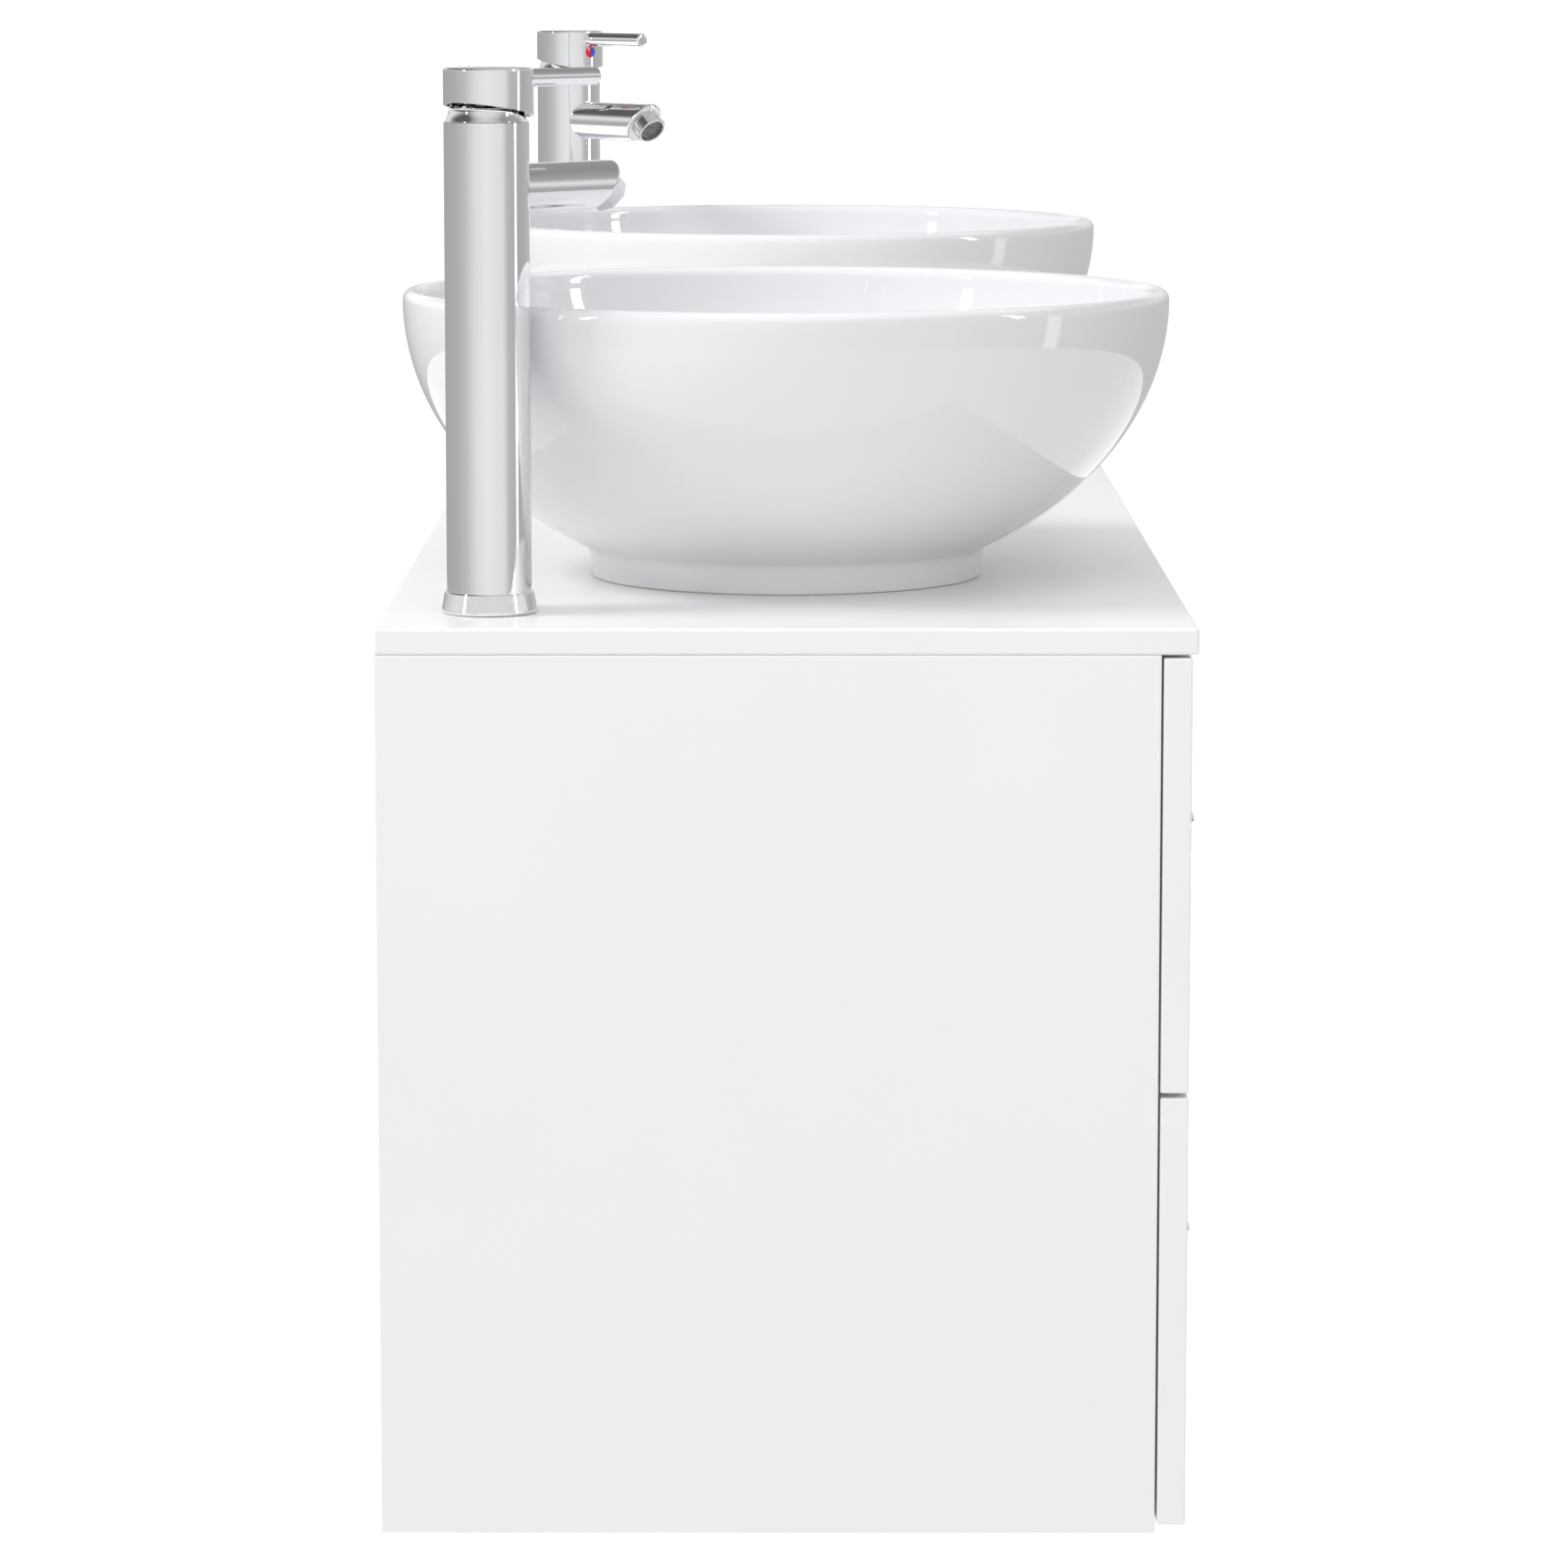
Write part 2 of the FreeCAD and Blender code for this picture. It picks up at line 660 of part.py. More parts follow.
def spout():
    """A level tube whose end is cut on a slant that faces down into the basin."""
    over = 2 * SPOUT_R
    body = cylinder(SPOUT_R, Vector(0, 0, SPOUT_HEIGHT), Vector(SPOUT_REACH + over, 0, SPOUT_HEIGHT))
    way = spout_way()
    body = body.cut(cylinder(4 * over, spout_end(), spout_end() + way * (4 * over)))
    rim = [
        edge
        for edge in body.Edges
        if edge.BoundBox.XMin > SPOUT_REACH - over and edge.BoundBox.YLength > 1
    ]
    return body.makeFillet(SPOUT_EDGE_ROUND, rim)


def foot_ring():
    """The ring at the pillar's foot, wider at the countertop, with both of its edges rounded."""
    top = FOOT_RING_HEIGHT
    foot_r = FAUCET_R + FOOT_RING_FLARE
    ring = turned([(0, 0), (foot_r, 0), (FAUCET_R + FOOT_RING_STEP, top), (0, top)])
    for height, radius in ((0, FOOT_RING_LOW_ROUND), (top, FOOT_RING_TOP_ROUND)):
        rim = [edge for edge in ring.Edges if edge.Closed and abs(edge.BoundBox.ZMin - height) < 0.1]
        ring = ring.makeFillet(radius, rim)
    return ring


def faucet_body():
    """The pillar with its foot ring, spout, waterway and the shank with two supply inlets."""
    outline = [
        (0, -SHANK_LENGTH),
        (SHANK_R, -SHANK_LENGTH),
        (SHANK_R, 0),
        (FAUCET_R, 0),
        (FAUCET_R, FAUCET_SHOULDER),
        (CHAMBER_R, FAUCET_SHOULDER),
        (CHAMBER_R, CHAMBER_BOTTOM),
        (WATERWAY_R, CHAMBER_BOTTOM),
        (WATERWAY_R, WATERWAY_BOTTOM),
        (0, WATERWAY_BOTTOM),
    ]
    outside_spout = spout().cut(upright(FAUCET_R - 1, 0, 0, 0, FAUCET_SHOULDER))
    body = turned(outline).fuse(foot_ring()).fuse(outside_spout)
    body = body.cut(cylinder(SPOUT_BORE_R, Vector(0, 0, SPOUT_HEIGHT), spout_end() - Vector(4, 0, 0)))
    seat_bottom = spout_end() - spout_way() * AERATOR_SEAT_DEPTH
    body = body.cut(cylinder(AERATOR_SEAT_R, seat_bottom, spout_end() + spout_way()))
    inlet_top = INLET_DEPTH - SHANK_LENGTH
    for edge in (-1, 1):
        body = body.cut(upright(INLET_R, 0, edge * INLET_FROM_AXIS, -SHANK_LENGTH, inlet_top))
    return body.removeSplitter()


def aerator():
    """An eight-sided aerator housing screwed into the spout's slanted end, with a recessed outlet face."""
    housing = polygon(AERATOR_SIDES, AERATOR_R, 0).extrude(Vector(0, 0, AERATOR_LENGTH))
    housing = housing.fuse(upright(AERATOR_SEAT_R - RUNNING_FIT, 0, 0, -AERATOR_SEAT_DEPTH + 1, 0))
    face_z = AERATOR_LENGTH - AERATOR_FACE_DEPTH
    housing = housing.cut(upright(AERATOR_FACE_R, 0, 0, face_z, AERATOR_LENGTH))
    housing.rotate(Vector(0, 0, 0), Vector(0, 1, 0), 90 + SPOUT_TILT)
    housing.translate(spout_end())
    return housing.removeSplitter()


def faucet_nut():
    corner_r = FAUCET_NUT_ACROSS / 2 / math.cos(math.pi / 6)
    nut = polygon(6, corner_r, -TOP_THICK).extrude(Vector(0, 0, -FAUCET_NUT_HEIGHT))
    return nut.cut(upright(SHANK_R + RUNNING_FIT, 0, 0, -TOP_THICK - FAUCET_NUT_HEIGHT, -TOP_THICK))


def bonnet():
    """The rounded ring on the pillar's shoulder, low enough for the tilting cap to clear it."""
    shoulder = FAUCET_SHOULDER
    outline = [
        (BONNET_MOUTH_R, shoulder),
        (FAUCET_R, shoulder),
        (FAUCET_R - 0.9, shoulder + 0.8),
        (FAUCET_R - 2.0, shoulder + 2.6),
        (FAUCET_R - 2.3, shoulder + 5.0),
        (FAUCET_R - 4.0, shoulder + BONNET_HEIGHT - 0.8),
        (FAUCET_R - 6.5, shoulder + BONNET_HEIGHT),
        (BONNET_MOUTH_R, shoulder + BONNET_HEIGHT),
    ]
    return turned(outline)


def rotor():
    """The part that swivels in the pillar, slotted for the handle's tongue, with the pivot pin across."""
    fit_r = CHAMBER_R - RUNNING_FIT
    body = upright(fit_r, 0, 0, ROTOR_BOTTOM, ROTOR_SHOULDER)
    body = body.fuse(upright(ROTOR_NECK_R, 0, 0, ROTOR_SHOULDER, ROTOR_TOP))
    half_slot = TONGUE_THICK / 2 + TONGUE_GAP
    body = body.cut(box(-ROTOR_NECK_R, ROTOR_NECK_R, -half_slot, half_slot, SLOT_FLOOR, ROTOR_TOP))
    pin_end = Vector(0, half_slot + 1, PIVOT_HEIGHT)
    pin = cylinder(PIVOT_PIN_R, Vector(0, -half_slot - 1, PIVOT_HEIGHT), pin_end)
    return body.fuse(pin).removeSplitter()


def cap():
    """The handle's cap, cut on a slant below, with a tongue that hangs on the pivot pin."""
    low = CAP_FRONT_EDGE - 5
    drum = upright(CAP_R, CAP_OFFSET, 0, low, CAP_TOP)
    top_edges = [edge for edge in drum.Edges if edge.BoundBox.ZMin > CAP_TOP - 0.1]
    drum = drum.makeFillet(CAP_EDGE_ROUND, top_edges)
    drum = drum.cut(upright(CAP_R - CAP_WALL, CAP_OFFSET, 0, low, CAP_TOP - CAP_CROWN))
    front = Vector(CAP_OFFSET + CAP_R, 0, CAP_FRONT_EDGE)
    back = Vector(CAP_OFFSET - CAP_R, 0, CAP_BACK_EDGE)
    slant = back - front
    away = Vector(slant.z, 0, -slant.x).normalize()
    drum = drum.cut(cylinder(4 * CAP_R, (front + back) / 2, (front + back) / 2 - away * (4 * CAP_R)))
    half = TONGUE_THICK / 2
    tongue = box(-TONGUE_HALF_LENGTH, TONGUE_HALF_LENGTH, -half, half,
                 PIVOT_HEIGHT - TONGUE_HALF_LENGTH, CAP_TOP - CAP_CROWN)
    drum = drum.fuse(tongue)
    pin_start = Vector(0, -half, PIVOT_HEIGHT)
    pin_hole = cylinder(PIVOT_PIN_R + RUNNING_FIT, pin_start, Vector(0, half, PIVOT_HEIGHT))
    front_x = CAP_OFFSET + CAP_R
    spigot_hole = cylinder(LEVER_SPIGOT_R + RUNNING_FIT,
                           Vector(front_x - CAP_WALL - LEVER_SPIGOT_LENGTH, 0, LEVER_HEIGHT),
                           Vector(front_x + 1, 0, LEVER_HEIGHT))
    index_hole = cylinder(INDEX_R + RUNNING_FIT, Vector(front_x - INDEX_DEPTH, 0, INDEX_HEIGHT),
                          Vector(front_x + 1, 0, INDEX_HEIGHT))
    return drum.cut(pin_hole).cut(spigot_hole).cut(index_hole).removeSplitter()


def lever():
    """A slim round rod with a softened end and the spigot that screws into the cap."""
    cap_front = CAP_OFFSET + CAP_R
    rod = cylinder(LEVER_R, Vector(0, 0, LEVER_HEIGHT), Vector(LEVER_END, 0, LEVER_HEIGHT))
    tip = [edge for edge in rod.Edges if edge.BoundBox.XMin > LEVER_END - 0.1]
    rod = rod.makeFillet(LEVER_END_ROUND, tip)
    over = 2 * LEVER_R
    rod = rod.cut(upright(CAP_R + RUNNING_FIT, CAP_OFFSET, 0, LEVER_HEIGHT - over, LEVER_HEIGHT + over))
    spigot_start = Vector(cap_front - CAP_WALL - LEVER_SPIGOT_LENGTH + 0.5, 0, LEVER_HEIGHT)
    spigot = cylinder(LEVER_SPIGOT_R, spigot_start, Vector(cap_front + 2, 0, LEVER_HEIGHT))
    return rod.fuse(spigot).removeSplitter()


def index_button():
    front_x = CAP_OFFSET + CAP_R
    start = Vector(front_x - INDEX_DEPTH, 0, INDEX_HEIGHT)
    return cylinder(INDEX_R, start, Vector(front_x + INDEX_PROUD, 0, INDEX_HEIGHT))


def build_cabinet():
    save("countertop", countertop())
    for name, side in SIDES.items():
        save("side_panel_" + name, side_panel(side))
    save("centre_partition", centre_partition())
    base, base_cams = bottom_panel()
    rails, rail_cams = front_rails()
    hanging, hanging_cams = wall_rail(SHELF_TOP - HANGING_RAIL_HEIGHT, SHELF_TOP, UPPER_BOLT_Z)
    lower, lower_cams = wall_rail(BOTTOM_THICK, BOTTOM_THICK + LOWER_RAIL_HEIGHT, LOWER_BOLT_Z)
    save("bottom_panel", base)
    save("front_rails", *rails)
    save("hanging_rail", hanging)
    save("lower_wall_rail", lower)
    save("cam_fittings", *base_cams, *rail_cams, *hanging_cams, *lower_cams)


def build_drawers():
    cabinet_rails = []
    for row in ROWS:
        for name, side in SIDES.items():
            drawer = row + "_" + name + "_"
            save(drawer + "front", drawer_front(side, row))
            save(drawer + "knobs", *[knob(place) for place in knob_places(side, row)])
            save(drawer + "box_sides", *box_sides(side, row))
            save(drawer + "box_base", box_base(side, row))
            save(drawer + "box_back", *box_back(side, row))
            save(drawer + "drawer_slides", *runner_stage(side, row, "drawer"))
            save(drawer + "middle_slides", *runner_stage(side, row, "middle"))
            cabinet_rails.extend(runner_stage(side, row, "cabinet"))
    save("cabinet_runners", *cabinet_rails)


def build_basins():
    for name, side in SIDES.items():
        save("basin_" + name, at_basin(basin_body(), side))
        save("stopper_" + name, at_basin(stopper(), side))
    pairs = {
        "basin_wastes": basin_waste(),
        "waste_nuts": waste_nut(),
        "trap_tails": trap_tail(),
        "bottle_traps": bottle_trap(),
        "trap_outlets": trap_outlet(),
    }
    for node, shape in pairs.items():
        save(node, *[at_basin(shape, side) for side in SIDES.values()])


def build_faucets():
    for name, side in SIDES.items():
        save("faucet_body_" + name, at_faucet(faucet_body(), side))
        save("faucet_rotor_" + name, at_faucet(rotor(), side))
        save("handle_cap_" + name, at_faucet(cap(), side))
        save("lever_" + name, at_faucet(lever(), side))
        save("index_button_" + name, at_faucet(index_button(), side))
    pairs = {"faucet_bonnets": bonnet(), "aerators": aerator(), "faucet_nuts": faucet_nut()}
    for node, shape in pairs.items():
        save(node, *[at_faucet(shape, side) for side in SIDES.values()])


os.makedirs("parts", exist_ok=True)
build_cabinet()
build_drawers()
build_basins()
build_faucets()
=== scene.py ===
"""Looks for the double vessel sink vanity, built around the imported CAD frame. Everything is in metres."""

import json
import math

import bmesh
import bpy
from mathutils import Matrix, Vector


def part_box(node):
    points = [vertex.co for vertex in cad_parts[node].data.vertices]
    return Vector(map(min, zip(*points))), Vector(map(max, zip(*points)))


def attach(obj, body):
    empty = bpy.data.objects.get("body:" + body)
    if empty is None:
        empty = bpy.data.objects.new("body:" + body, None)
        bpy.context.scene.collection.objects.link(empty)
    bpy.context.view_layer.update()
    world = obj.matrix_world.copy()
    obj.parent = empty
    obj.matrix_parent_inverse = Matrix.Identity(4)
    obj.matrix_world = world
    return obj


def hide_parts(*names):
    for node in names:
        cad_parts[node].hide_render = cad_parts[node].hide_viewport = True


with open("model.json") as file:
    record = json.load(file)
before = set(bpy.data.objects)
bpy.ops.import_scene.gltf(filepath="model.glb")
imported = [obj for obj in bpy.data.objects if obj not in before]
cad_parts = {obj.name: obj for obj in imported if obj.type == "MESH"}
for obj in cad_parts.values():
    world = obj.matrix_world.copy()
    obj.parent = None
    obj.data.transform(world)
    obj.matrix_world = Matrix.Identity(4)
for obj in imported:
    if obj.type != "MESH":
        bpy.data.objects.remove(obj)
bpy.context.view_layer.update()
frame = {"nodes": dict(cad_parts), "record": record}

MM = 0.001
SIDES = ("left", "right")
ROWS = ("lower", "upper")

# Places read from the frame
TOP_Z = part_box("countertop")[1].z
CABINET_BOTTOM_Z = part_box("side_panel_left")[0].z


def centre(node):
    low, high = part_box(node)
    return (low + high) / 2


def basin_place(side):
    """The point on the countertop under the middle of a basin."""
    spot = centre("stopper_" + side)
    return Vector((spot.x, spot.y, TOP_Z))


def faucet_place(side):
    spot = centre("faucet_rotor_" + side)
    return Vector((spot.x, spot.y, TOP_Z))


def faucet_frame(side):
    """Takes a shape drawn about a faucet's axis, spout along +X, to its place on the countertop."""
    aim = basin_place(side) - faucet_place(side)
    return Matrix.Translation(faucet_place(side)) @ Matrix.Rotation(math.atan2(aim.y, aim.x), 4, "Z")


# Mesh helpers

# A radius below this is on the axis, where a ring has one point
ON_AXIS = 1e-7


def new_piece(name, bm, materials, sharp_degrees=32):
    """A shaded object from a bmesh, with its hard edges marked."""
    bmesh.ops.recalc_face_normals(bm, faces=bm.faces)
    mesh = bpy.data.meshes.new(name)
    bm.to_mesh(mesh)
    bm.free()
    for polygon in mesh.polygons:
        polygon.use_smooth = True
    mesh.set_sharp_from_angle(angle=math.radians(sharp_degrees))
    for material in materials:
        mesh.materials.append(material)
    piece = bpy.data.objects.new(name, mesh)
    bpy.context.scene.collection.objects.link(piece)
    return piece


def rounded(corners, steps=6):
    """A profile from (radius, height, rounding) corners, with each corner cut back by its rounding."""
    points = []
    count = len(corners)
    for index, (r, z, rounding) in enumerate(corners):
        here = Vector((r, z))
        if rounding == 0:
            points.append(here)
            continue
        before = Vector(corners[index - 1][:2])
        after = Vector(corners[(index + 1) % count][:2])
        start = here + (before - here).normalized() * rounding
        end = here + (after - here).normalized() * rounding
        for step in range(steps + 1):
            t = step / steps
            points.append(start * (1 - t) ** 2 + here * 2 * t * (1 - t) + end * t ** 2)
    return points


def bridge(bm, low, high, count):
    """Joins two rings of count points with faces. A ring of one point is a pole."""
    faces = []
    for n in range(count):
        m = (n + 1) % count
        corners = [low[n % len(low)], low[m % len(low)], high[m % len(high)], high[n % len(high)]]
        corners = list(dict.fromkeys(corners))
        if len(corners) > 2:
            faces.append(bm.faces.new(corners))
    return faces


def lathe(bm, profile, place, segments=96, closed=False):
    """Turns a profile of (radius, height) points about the Z axis of place."""
    rings = []
    for r, z in profile:
        if r < ON_AXIS:
            rings.append([bm.verts.new(place @ Vector((0, 0, z)))])
            continue
        turns = [math.tau * n / segments for n in range(segments)]
        rings.append([bm.verts.new(place @ Vector((r * math.cos(a), r * math.sin(a), z))) for a in turns])
    pairs = list(zip(rings, rings[1:]))
    if closed:
        pairs.append((rings[-1], rings[0]))
    faces = []
    for low, high in pairs:
        faces += bridge(bm, low, high, segments)
    return faces


def ellipse_points(half_width, half_height, centre_z, r_from, r_to, steps):
    """Points on the lower half of an ellipse about the axis, evenly spread over its angle."""
    a0 = math.acos(r_from / half_width)
    a1 = math.acos(r_to / half_width)
    angles = [a0 + (a1 - a0) * n / steps for n in range(steps + 1)]
    return [Vector((half_width * math.cos(a), centre_z - half_height * math.sin(a))) for a in angles]


# Material helpers


class Shader:
    """A Principled material with short calls for its nodes."""

    def __init__(self, name, **settings):
        self.material = bpy.data.materials.new(name)
        self.material.use_nodes = True
        self.nodes = self.material.node_tree.nodes
        self.links = self.material.node_tree.links
        self.surface = self.nodes["Principled BSDF"]
        for socket, value in settings.items():
            self.surface.inputs[socket.replace("_", " ")].default_value = value
        self.position = self.node("ShaderNodeTexCoord").outputs["Object"]
        self.heights = []

    def node(self, kind, **inputs):
        made = self.nodes.new(kind)
        for socket, value in inputs.items():
            target = made.inputs[socket.replace("_", " ")]
            if isinstance(value, bpy.types.NodeSocket):
                self.links.new(value, target)
            else:
                target.default_value = value
        return made

    def noise(self, scale, detail=3.0, stretch=(1, 1, 1), roughness=0.5):
        mapping = self.node("ShaderNodeMapping", Vector=self.position, Scale=stretch)
        made = self.node("ShaderNodeTexNoise", Vector=mapping.outputs[0], Scale=scale, Detail=detail,
                         Roughness=roughness)
        return made.outputs["Fac"]

    def cells(self, scale, stretch=(1, 1, 1)):
        mapping = self.node("ShaderNodeMapping", Vector=self.position, Scale=stretch)
        made = self.node("ShaderNodeTexVoronoi", Vector=mapping.outputs[0], Scale=scale)
        return made.outputs["Distance"]

    def ramp(self, factor, low, high, low_value, high_value):
        """A number that goes from low_value to high_value as factor goes from low to high."""
        made = self.node("ShaderNodeMapRange", Value=factor)
        made.inputs["From Min"].default_value = low
        made.inputs["From Max"].default_value = high
        made.inputs["To Min"].default_value = low_value
        made.inputs["To Max"].default_value = high_value
        return made.outputs[0]

    def blend(self, factor, low_colour, high_colour):
        made = self.node("ShaderNodeMix")
        made.data_type = "RGBA"
        self.links.new(factor, made.inputs[0])
        for socket, colour in ((6, low_colour), (7, high_colour)):
            if isinstance(colour, bpy.types.NodeSocket):
                self.links.new(colour, made.inputs[socket])
            else:
                made.inputs[socket].default_value = (*colour, 1)
        return made.outputs[2]

    def maths(self, operation, a, b=0.0):
        made = self.nodes.new("ShaderNodeMath")
        made.operation = operation
        for socket, value in ((0, a), (1, b)):
            if isinstance(value, bpy.types.NodeSocket):
                self.links.new(value, made.inputs[socket])
            else:
                made.inputs[socket].default_value = value
        return made.outputs[0]

    def colour(self, socket):
        self.links.new(socket, self.surface.inputs["Base Color"])

    def roughness(self, socket):
        self.links.new(socket, self.surface.inputs["Roughness"])

    def bump(self, height, distance, strength=1.0):
        """Adds a bump whose distance is in metres. Calls add up."""
        made = self.node("ShaderNodeBump", Height=height, Distance=distance, Strength=strength)
        if self.heights:
            self.links.new(self.heights[-1], made.inputs["Normal"])
        self.heights.append(made.outputs[0])
        self.links.new(made.outputs[0], self.surface.inputs["Normal"])

    def along(self, axis):
        """The object coordinate along one axis, in metres."""
        return self.node("ShaderNodeSeparateXYZ", Vector=self.position).outputs[axis]

    def facing(self, axis):
        """The surface normal's component along one axis."""
        normal = self.node("ShaderNodeNewGeometry").outputs["Normal"]
        return self.node("ShaderNodeSeparateXYZ", Vector=normal).outputs[axis]


# Materials


def lacquer_material():
    """Satin white lacquer with a faint orange peel and slightly uneven gloss."""
    made = Shader("white_lacquer", Coat_Weight=0.25, Coat_Roughness=0.18, Specular_IOR_Level=0.45)
    made.colour(made.blend(made.noise(9, 4), (0.86, 0.86, 0.858), (0.89, 0.89, 0.888)))
    made.roughness(made.ramp(made.noise(38, 5), 0.3, 0.7, 0.32, 0.46))
    made.bump(made.noise(900, 2), 0.00002, 0.5)
    made.bump(made.noise(60, 2), 0.00003, 0.35)
    return made.material


def board_material(name, low, high, core=None):
    """Melamine-faced board with a fine embossed grain. A given core shows as bare chips on its rear edges."""
    made = Shader(name, Specular_IOR_Level=0.4)
    grain = made.noise(55, 6, (1, 14, 14))
    face = made.blend(made.ramp(grain, 0.35, 0.65, 0, 1), low, high)
    made.roughness(made.ramp(made.noise(120, 4), 0.3, 0.7, 0.42, 0.6))
    made.bump(grain, 0.00006, 0.5)
    if core is None:
        made.colour(face)
    else:
        dark_core = tuple(c * 0.55 for c in core)
        chip = made.ramp(made.cells(420, stretch=(1, 1, 1.6)), 0.15, 0.75, 0, 1)
        chips = made.blend(chip, dark_core, core)
        edge = made.ramp(made.facing("Y"), 0.6, 0.9, 0, 1)
        made.colour(made.blend(edge, face, chips))
        made.bump(made.maths("MULTIPLY", edge, made.cells(420)), 0.0004, 0.7)
    return made.material


def ceramic_material():
    """White glaze over a pale body, bare on the ring that the basin stands on."""
    made = Shader("ceramic_glaze", Coat_Weight=0.35, Coat_Roughness=0.02, Coat_IOR=1.55,
                  Specular_IOR_Level=0.4)
    glaze = made.blend(made.noise(6, 3), (0.765, 0.765, 0.792), (0.8, 0.8, 0.82))
    speckle = made.ramp(made.cells(260), 0.03, 0.06, 1, 0)
    glaze = made.blend(made.maths("MULTIPLY", speckle, 0.08), glaze, (0.62, 0.6, 0.58))
    bare = made.ramp(made.along("Z"), TOP_Z + 0.2 * MM, TOP_Z + 0.9 * MM, 1, 0)
    made.colour(made.blend(bare, glaze, (0.62, 0.58, 0.52)))
    shine = made.ramp(made.noise(22, 4), 0.3, 0.7, 0.02, 0.05)
    made.roughness(made.maths("ADD", shine, made.maths("MULTIPLY", bare, 0.6)))
    made.bump(made.noise(34, 2), 0.00006, 0.3)
    made.bump(made.maths("MULTIPLY", bare, made.noise(1500, 3)), 0.0002, 0.8)
    return made.material


def chrome_material(name, tint, low, high):
    """Polished chrome with faint smears, hairline scratches and a trace of polishing waviness."""
    made = Shader(name, Metallic=1.0)
    smear = made.noise(26, 5, (1, 1, 0.35))
    made.colour(made.blend(made.ramp(smear, 0.35, 0.7, 0, 1), tuple(c * 0.97 for c in tint), tint))
    hairline = made.ramp(made.noise(900, 2, (1, 1, 0.04)), 0.62, 0.8, 0, 1)
    shine = made.ramp(smear, 0.35, 0.75, low, high)
    made.roughness(made.maths("ADD", shine, made.maths("MULTIPLY", hairline, 0.05)))
    made.bump(hairline, 0.000002, 0.4)
    made.bump(made.noise(45, 1), 0.000004, 0.2)
    return made.material


def brass_material():
    """Machined brass with turning rings and a dull patina in patches."""
    made = Shader("machined_brass", Metallic=1.0)
    patina = made.ramp(made.noise(120, 5), 0.4, 0.7, 0, 1)
    made.colour(made.blend(patina, (0.76, 0.6, 0.33), (0.58, 0.43, 0.22)))
    made.roughness(made.ramp(patina, 0, 1, 0.2, 0.42))
    made.bump(made.noise(1400, 2, (0.05, 0.05, 1)), 0.00003, 0.6)
    return made.material


def steel_material(name, base, worn):
    """Zinc-plated steel: drawn lines along the runner and a spangled, uneven plating."""
    made = Shader(name, Metallic=1.0)
    spangle = made.ramp(made.cells(90, stretch=(1, 0.5, 1)), 0.1, 0.6, 0, 1)
    made.colour(made.blend(spangle, base, worn))
    made.roughness(made.ramp(made.noise(300, 4, (1, 0.04, 1)), 0.3, 0.7, 0.28, 0.45))
    made.bump(made.noise(900, 2, (1, 0.02, 1)), 0.00003, 0.5)
    return made.material


def plastic_material(name, low, high, rough=0.3):
    """Moulded plastic with a soft gloss, fine mould texture and slight flow marks."""
    made = Shader(name, Specular_IOR_Level=0.5)
    made.colour(made.blend(made.noise(30, 3), low, high))
    made.roughness(made.ramp(made.noise(240, 3), 0.3, 0.7, rough * 0.8, rough * 1.3))
    made.bump(made.noise(1600, 2), 0.00003, 0.35)
    return made.material


def mesh_face_material():
    """The dark screen in an aerator."""
    made = Shader("aerator_screen", Metallic=0.85)
    made.colour(made.blend(made.noise(900, 2), (0.16, 0.16, 0.165), (0.27, 0.27, 0.28)))
    made.roughness(made.ramp(made.noise(700, 2), 0.3, 0.7, 0.28, 0.5))
    made.bump(made.noise(2600, 1), 0.00002, 0.5)
    return made.material


LACQUER = lacquer_material()
CARCASS = board_material("carcass_board", (0.83, 0.835, 0.84), (0.87, 0.872, 0.875), (0.66, 0.52, 0.36))
RAIL_BOARD = board_material("rail_board", (0.82, 0.825, 0.83), (0.86, 0.862, 0.865))
DRAWER_BOARD = board_material("drawer_board", (0.74, 0.745, 0.75), (0.81, 0.815, 0.82))
CERAMIC = ceramic_material()
CHROME = chrome_material("polished_chrome", (0.84, 0.845, 0.855), 0.03, 0.075)
SATIN_CHROME = chrome_material("satin_chrome", (0.8, 0.805, 0.815), 0.1, 0.17)
SCREEN = mesh_face_material()
BRASS = brass_material()
ZINC = steel_material("zinc_plated_steel", (0.7, 0.71, 0.73), (0.6, 0.61, 0.62))
CAST_ZINC = steel_material("cast_zinc", (0.62, 0.62, 0.63), (0.5, 0.5, 0.51))
TRAP_PLASTIC = plastic_material("trap_plastic", (0.83, 0.83, 0.82), (0.87, 0.87, 0.86))
RED_ENAMEL = plastic_material("red_enamel", (0.72, 0.015, 0.01), (0.85, 0.03, 0.015), 0.12)
BLUE_ENAMEL = plastic_material("blue_enamel", (0.03, 0.05, 0.55), (0.05, 0.08, 0.7), 0.12)

SLOT_MATERIALS = {
    "white_lacquer": LACQUER,
    "carcass_board": CARCASS,
    "drawer_board": DRAWER_BOARD,
    "ceramic_glaze": CERAMIC,
    "chrome_trim": CHROME,
    "chrome_tap": CHROME,
    "aerator_metal": SATIN_CHROME,
    "chrome_knob": CHROME,
    "brass_rotor": BRASS,
    "brass_nut": BRASS,
    "index_plastic": RED_ENAMEL,
    "trap_plastic": TRAP_PLASTIC,
    "zinc_cam": CAST_ZINC,
    "runner_steel": ZINC,
}

# The wall rails are faced all over, unlike the other carcass boards
NODE_MATERIALS = {"hanging_rail": RAIL_BOARD, "lower_wall_rail": RAIL_BOARD}


def dress_frame():
    """Gives every CAD node the material of its slot, or its own."""
    for subpart in frame["record"]["subparts"]:
        name = subpart["node"]
        material = NODE_MATERIALS.get(name, SLOT_MATERIALS[subpart["material_slot"]])
        for place in frame["nodes"][name].material_slots:
            place.material = material


# Basins

